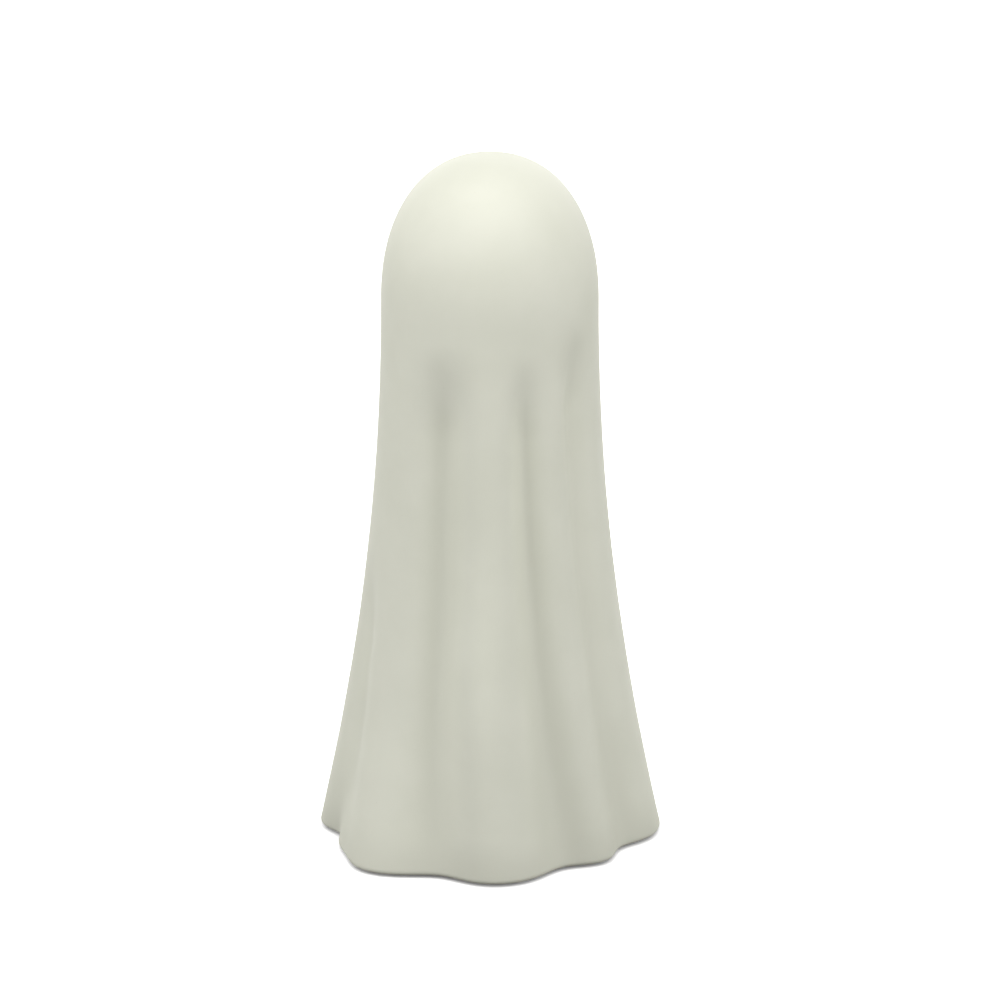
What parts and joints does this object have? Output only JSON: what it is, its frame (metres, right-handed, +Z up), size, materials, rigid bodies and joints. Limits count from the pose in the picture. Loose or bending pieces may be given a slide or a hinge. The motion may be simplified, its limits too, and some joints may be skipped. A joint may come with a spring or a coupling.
{
  "type": "ceramic ghost figure",
  "caption": "Free-standing ceramic ghost decoration: a tall hollow draped form with a domed head, soft folds and a lobed hem on a closed floor slab.",
  "frame": {"origin": "on the table, under the middle of the figure's bounding box", "axes": "+Z up from the table to the crown, the face looks along -Y, +X is the figure's own left"},
  "size_m": [0.0992, 0.0975, 0.1999],
  "materials": {
    "bisque_drape": "matte off-white",
    "bare_floor": "unglazed, slightly rough",
    "black_glaze": "glossy black",
    "felt": "pressed felt"
  },
  "bodies": {
    "root": {"ghost_shell": "bisque_drape", "base_slab": "bare_floor", "eye_left": "black_glaze", "eye_right": "black_glaze", "felt_foot_1": "felt", "felt_foot_2": "felt", "felt_foot_3": "felt", "felt_foot_4": "felt"}
  },
  "joints": []
}
